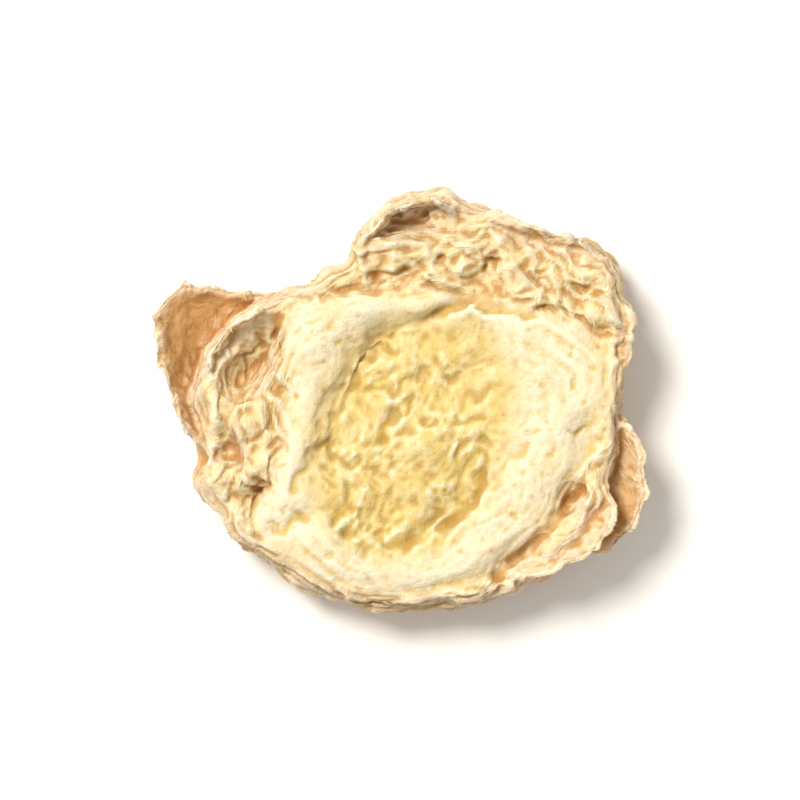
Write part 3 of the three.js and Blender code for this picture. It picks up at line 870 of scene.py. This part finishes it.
# %% Finish the slice
starchy_ginger = dried_ginger()
ginger.data.materials.append(starchy_ginger)
print(f"the material has {len(starchy_ginger.node_tree.nodes)} nodes")

# %% [markdown]
# ## Frayed fibres
#
# Ginger is stringy. Where its tissue tore, the tips of short fibres stand out of the surface. Hair would
# look right but isn't a mesh, so each tip is a thin tapered tube that curves as it goes. It starts under
# the surface, so that it seems to grow out of it.

# %% Draw the line of each fibre
FIBRES = 50
FIBRE_STEPS = 8
FIBRE_LENGTHS = (0.2, 0.4)
FIBRE_START = 0.1
FIBRE_RISES = (0.1, 0.5)
FIBRE_CURL = 0.45
FIBRE_DROOP = 0.2
OFF_EDGE_CHANCE = 0.3
NOT_UNDER = -0.1


def fibre_lines(count, seed):
    """Points along each fibre, shaped (count, steps + 1, 3), in millimetres."""
    random = np.random.default_rng(seed)
    chance = rim * (1 - cork) * (OFF_EDGE_CHANCE + free_edge) * ridge * (facing[:, 2] > NOT_UNDER)
    roots = random.choice(point_count, count, replace=False, p=chance / chance.sum())
    out = facing[roots]
    around = np.cross(out, random.normal(size=(count, 3)))
    around /= np.linalg.norm(around, axis=1)[:, None]
    heading = around + random.uniform(*FIBRE_RISES, (count, 1)) * out
    turning = FIBRE_CURL * random.normal(size=(count, 3)) - FIBRE_DROOP * out
    long = random.uniform(*FIBRE_LENGTHS, (count, 1))
    lines = []
    for part in np.linspace(0, 1, FIBRE_STEPS + 1):
        bend = heading * part + turning * part**2
        lines.append(points[roots] - FIBRE_START * out + long * bend)
    return np.stack(lines, axis=1)


fibre_points = fibre_lines(FIBRES, seed=95)
reaches = np.linalg.norm(fibre_points[:, -1] - fibre_points[:, 0], axis=1)
print(f"{FIBRES} fibres that reach {reaches.min():.1f} to {reaches.max():.1f} mm")

# %% Make a tube along each line
# A direction that no fibre happens to have, so that none is parallel to it.
ASKEW = (0.31, 0.17, 0.93)
FIBRE_SIDES = 5
FIBRE_RADIUS = 0.05
FIBRE_TIP = 0.4


def fibre_tubes(lines, name):
    """One mesh with a closed tapered tube along each line."""
    along = np.gradient(lines, axis=1)
    along /= np.linalg.norm(along, axis=2)[..., None]
    side = np.cross(along, ASKEW)
    side /= np.linalg.norm(side, axis=2)[..., None]
    other = np.cross(along, side)
    radius = FIBRE_RADIUS * np.linspace(1, FIBRE_TIP, lines.shape[1])[:, None]
    rings = []
    for turn in 2 * math.pi * np.arange(FIBRE_SIDES) / FIBRE_SIDES:
        rings.append(lines + radius * (math.cos(turn) * side + math.sin(turn) * other))
    corners = np.stack(rings, axis=2).reshape(-1, 3)
    per_fibre = lines.shape[1] * FIBRE_SIDES
    faces = []
    for first in range(0, len(corners), per_fibre):
        for ring, k in itertools.product(range(FIBRE_STEPS), range(FIBRE_SIDES)):
            a, b = first + ring * FIBRE_SIDES + k, first + ring * FIBRE_SIDES + (k + 1) % FIBRE_SIDES
            faces.append((a, b, b + FIBRE_SIDES, a + FIBRE_SIDES))
        faces.append([first + k for k in reversed(range(FIBRE_SIDES))])
        faces.append([first + per_fibre - FIBRE_SIDES + k for k in range(FIBRE_SIDES)])
    mesh = bpy.data.meshes.new(name)
    mesh.from_pydata((corners * MM).tolist(), [], faces)
    mesh.shade_smooth()
    piece = bpy.data.objects.new(name, mesh)
    bpy.context.scene.collection.objects.link(piece)
    return piece


fibres = fibre_tubes(fibre_points, "frayed_fibres")
print(f"the fibres have {len(fibres.data.polygons)} faces")

# %% [markdown]
# Dry ginger fibre is cellulose, like flax: pale straw, matte, and a little darker here and there where
# resin has dried on it.

# %% The fibre material
def ginger_fibre():
    """Pale dry plant fibre, darker in spots."""
    material = bpy.data.materials.new("ginger fibre, air-dried")
    material.use_nodes = True
    tree = material.node_tree
    surface = tree.nodes["Principled BSDF"]
    place = add(tree, "ShaderNodeTexCoord", {}, {}).outputs["Object"]
    spotty = {"Vector": place, "Scale": 0.6 / MM, "Detail": 2.0}
    spots = add(tree, "ShaderNodeTexNoise", {}, spotty).outputs["Fac"]
    straw = {FACTOR: spots, UNDER: "#D8B67A", OVER: "#F5E6C2"}
    colour = add(tree, "ShaderNodeMix", {"data_type": "RGBA"}, straw).outputs[MIXED]
    tree.links.new(colour, surface.inputs["Base Color"])
    surface.inputs["Roughness"].default_value = 0.7
    surface.inputs["Specular IOR Level"].default_value = 0.35
    return material


fibres.data.materials.append(ginger_fibre())
print(f"coloured the fibres as {fibres.data.materials[0].name}")

# %% [markdown]
# ## Riding on the measured solid
#
# The fine skin takes the place of the solid's node. It and the fibres ride on the part's only body.

# %% Put them in the solid's place
for piece in (ginger, fibres):
    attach(piece, "root")
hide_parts("ginger_slice")
print(f"{ginger.name} and {fibres.name} ride on the root")

# %% [markdown]
# ## The table, the lights and the camera
#
# The slice lies on a plain white sheet and is seen from straight above. One strong soft light stands at
# the upper left, so every fold throws a short shadow to the lower right. The white sky fills them.

# %% The white table
TABLE_SIZE = 2.0
GAP = 0.01 * MM


def white_table():
    """A wide white sheet under the slice."""
    material = bpy.data.materials.new("white paper")
    material.use_nodes = True
    surface = material.node_tree.nodes["Principled BSDF"]
    surface.inputs["Base Color"].default_value = linear("#F7F6F4")
    surface.inputs["Roughness"].default_value = 0.9
    surface.inputs["Specular IOR Level"].default_value = 0.2
    bpy.ops.mesh.primitive_plane_add(size=TABLE_SIZE)
    table = bpy.context.object
    table.name = "white_table"
    table.location.z = -GAP
    table.data.materials.append(material)
    return table


white_table()
print(f"the sheet is {TABLE_SIZE} m wide and lies {GAP / MM} mm under the slice")

# %% The lights
KEY_FROM = Vector((-0.52, 0.52, 1.1)).normalized()
KEY_DISTANCE = 0.5
KEY_SIZE = 0.19
KEY_POWER = 2.62
SKY_STRENGTH = 0.55

key = bpy.data.objects.new("key_light", bpy.data.lights.new("key_light", "AREA"))
key.data.shape = "DISK"
key.data.size = KEY_SIZE
key.data.energy = KEY_POWER
key.data.color = linear("#FFFAF2")[:3]
key.location = KEY_DISTANCE * KEY_FROM
key.rotation_euler = KEY_FROM.to_track_quat("Z", "Y").to_euler()
bpy.context.scene.collection.objects.link(key)

world = bpy.data.worlds.new("white_sky")
world.use_nodes = True
world.node_tree.nodes["Background"].inputs["Color"].default_value = linear("#FFFDF8")
world.node_tree.nodes["Background"].inputs["Strength"].default_value = SKY_STRENGTH
bpy.context.scene.world = world
bpy.context.scene.view_settings.view_transform = "Standard"
print(f"the key light stands {math.degrees(math.asin(KEY_FROM.z)):.0f} degrees high")

# %% The camera
# A long lens in millimetres, far off, and the share of the picture's width that the slice fills.
LENS = 180
FRAME_SHARE = 0.62

camera = bpy.data.objects.new("camera", bpy.data.cameras.new("camera"))
camera.data.lens = LENS
camera.data.clip_start = 0.01
span = length * MM / FRAME_SHARE
camera.location = (0, 0, span * LENS / camera.data.sensor_width)
bpy.context.scene.collection.objects.link(camera)
bpy.context.scene.camera = camera
print(f"the camera is {camera.location.z:.2f} m above the table")
